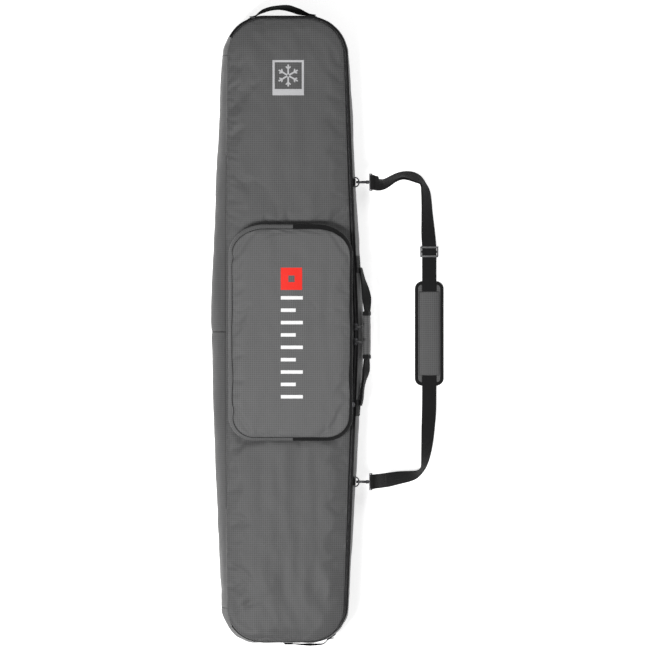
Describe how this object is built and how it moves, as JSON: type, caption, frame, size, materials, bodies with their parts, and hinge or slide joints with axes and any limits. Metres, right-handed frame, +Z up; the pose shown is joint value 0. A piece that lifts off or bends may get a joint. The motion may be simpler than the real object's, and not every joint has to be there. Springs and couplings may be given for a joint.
{
  "type": "snowboard bag",
  "caption": "Long padded snowboard bag lying on its back, with a zipped lid, a raised front pocket, grab handles and a clip-on shoulder strap with a pad.",
  "frame": {"origin": "on the rest face of the back panel, level with the side gusset's mid seam", "axes": "+X across the bag towards the zip and carry handle, +Y along the bag towards the nose, +Z up from the rest face through the lid"},
  "size_m": [0.5965, 1.645, 0.174],
  "materials": {
    "ripstop": "ripstop weave, satin",
    "zip_tape": "woven, matt",
    "zip_coil": "moulded nylon, satin",
    "webbing": "ribbed weave, matt",
    "lining": "plain weave, matt",
    "foam": "closed-cell foam, matt",
    "dark_metal": "gunmetal, semi-gloss",
    "black_plastic": "moulded, satin",
    "puller_rubber": "matt",
    "pad_binding": "folded tape, matt"
  },
  "bodies": {
    "bag": {"back_panel": "ripstop", "left_gusset_upper": "ripstop", "left_gusset_lower": "ripstop", "right_gusset": "ripstop", "nose_gusset": "ripstop", "tail_gusset": "ripstop", "gusset_padding": "foam", "gusset_lining": "lining", "back_padding": "foam", "back_lining": "lining", "main_zip_body_tape": "zip_tape", "main_zip_body_coil": "zip_coil", "main_zip_end_stops": "dark_metal", "carry_handle_patches": "webbing", "nose_handle_patches": "webbing", "tail_handle_patches": "webbing", "d_ring_tab_upper": "webbing", "d_ring_tab_lower": "webbing", "hook_swivel_upper": "dark_metal", "hook_swivel_lower": "dark_metal", "strap_webbing_upper": "webbing", "strap_webbing_lower": "webbing"},
    "lid": {"front_panel": "ripstop", "front_lining": "lining", "front_padding": "foam", "main_zip_lid_tape": "zip_tape", "main_zip_lid_coil": "zip_coil", "pocket_gusset_left": "ripstop", "pocket_gusset_right": "ripstop", "pocket_zip_lower_tape": "zip_tape", "pocket_face": "ripstop"},
    "flap": {"pocket_flap": "ripstop", "pocket_zip_upper_tape": "zip_tape"},
    "pocket_slider": {"pocket_slider": "dark_metal"},
    "pocket_puller": {"pocket_puller": "puller_rubber"},
    "main_slider_upper": {"main_slider_upper": "dark_metal"},
    "main_puller_upper": {"main_puller_upper": "puller_rubber"},
    "main_slider_lower": {"main_slider_lower": "dark_metal"},
    "main_puller_lower": {"main_puller_lower": "puller_rubber"},
    "carry_handle": {"carry_handle_webbing": "webbing", "carry_handle_wrap": "ripstop", "carry_handle_cuff_upper": "pad_binding", "carry_handle_cuff_lower": "pad_binding"},
    "nose_handle": {"nose_handle": "webbing"},
    "tail_handle": {"tail_handle": "webbing"},
    "d_ring_upper": {"d_ring_upper": "dark_metal"},
    "d_ring_lower": {"d_ring_lower": "dark_metal"},
    "hook_upper": {"hook_upper": "dark_metal", "hook_gate_pin_upper": "dark_metal"},
    "hook_lower": {"hook_lower": "dark_metal", "hook_gate_pin_lower": "dark_metal"},
    "hook_gate_upper": {"hook_gate_upper": "dark_metal"},
    "hook_gate_lower": {"hook_gate_lower": "dark_metal"},
    "strap_adjuster": {"strap_adjuster": "black_plastic"},
    "shoulder_pad": {"shoulder_pad_base": "foam", "shoulder_pad_binding": "pad_binding", "shoulder_pad_face": "ripstop"}
  },
  "joints": [
    {"name": "lid_opens", "type": "hinge", "parent": "bag", "child": "lid", "pos_m": [-0.161, 0, 0.1255], "axis": [0, -1, 0], "range_deg": [0, 125]},
    {"name": "flap_opens", "type": "hinge", "parent": "lid", "child": "flap", "pos_m": [0.0115, 0, 0.174], "axis": [0, -1, 0], "range_deg": [0, 100]},
    {"name": "pocket_slider_runs", "type": "slide", "parent": "lid", "child": "pocket_slider", "axis": [0, 1, 0], "range_m": [-0.025, 0.39]},
    {"name": "pocket_puller_lifts", "type": "hinge", "parent": "pocket_slider", "child": "pocket_puller", "pos_m": [0.168, -0.19, 0.1613], "axis": [0, -1, 0], "range_deg": [0, 150]},
    {"name": "main_slider_upper_runs", "type": "slide", "parent": "lid", "child": "main_slider_upper", "axis": [-0.0402, 0.9992, 0], "range_m": [0, 0.67]},
    {"name": "main_puller_upper_lifts", "type": "hinge", "parent": "main_slider_upper", "child": "main_puller_upper", "pos_m": [0.17148, 0.008, 0.1326], "axis": [0.0402, -0.9992, 0], "range_deg": [-10, 90]},
    {"name": "main_slider_lower_runs", "type": "slide", "parent": "lid", "child": "main_slider_lower", "axis": [-0.0402, -0.9992, 0], "range_m": [0, 0.65]},
    {"name": "main_puller_lower_lifts", "type": "hinge", "parent": "main_slider_lower", "child": "main_puller_lower", "pos_m": [0.17099, -0.03, 0.1326], "axis": [-0.0402, -0.9992, 0], "range_deg": [-10, 90]},
    {"name": "carry_handle_swings", "type": "hinge", "parent": "bag", "child": "carry_handle", "pos_m": [0.1815, 0, 0.112], "axis": [0, -1, 0], "range_deg": [0, 38]},
    {"name": "nose_handle_swings", "type": "hinge", "parent": "bag", "child": "nose_handle", "pos_m": [0, 0.81, 0.086], "axis": [1, 0, 0], "range_deg": [-15, 15]},
    {"name": "tail_handle_swings", "type": "hinge", "parent": "bag", "child": "tail_handle", "pos_m": [0, -0.809, 0.086], "axis": [1, 0, 0], "range_deg": [-15, 15]},
    {"name": "d_ring_upper_tips", "type": "hinge", "parent": "bag", "child": "d_ring_upper", "pos_m": [0.168, 0.378, 0.114], "axis": [0, -1, 0], "range_deg": [-8, 8]},
    {"name": "d_ring_lower_tips", "type": "hinge", "parent": "bag", "child": "d_ring_lower", "pos_m": [0.168, -0.388, 0.114], "axis": [0, -1, 0], "range_deg": [-8, 8]},
    {"name": "hook_upper_swivels", "type": "hinge", "parent": "bag", "child": "hook_upper", "pos_m": [0.2, 0.378, 0.114], "axis": [1, 0, 0], "range_deg": [-12, 12]},
    {"name": "hook_lower_swivels", "type": "hinge", "parent": "bag", "child": "hook_lower", "pos_m": [0.2, -0.388, 0.114], "axis": [1, 0, 0], "range_deg": [-12, 12]},
    {"name": "hook_gate_upper_opens", "type": "hinge", "parent": "hook_upper", "child": "hook_gate_upper", "pos_m": [0.192, 0.378, 0.12325], "axis": [0, -1, 0], "range_deg": [0, 38], "stiffness_Nm_per_rad": 0.02},
    {"name": "hook_gate_lower_opens", "type": "hinge", "parent": "hook_lower", "child": "hook_gate_lower", "pos_m": [0.192, -0.388, 0.12325], "axis": [0, -1, 0], "range_deg": [0, 38], "stiffness_Nm_per_rad": 0.02},
    {"name": "strap_adjuster_slides", "type": "slide", "parent": "bag", "child": "strap_adjuster", "axis": [0, 1, 0], "range_m": [-0.03, 0.09]},
    {"name": "shoulder_pad_slides", "type": "slide", "parent": "bag", "child": "shoulder_pad", "axis": [0, 1, 0], "range_m": [-0.08, 0.025]}
  ]
}
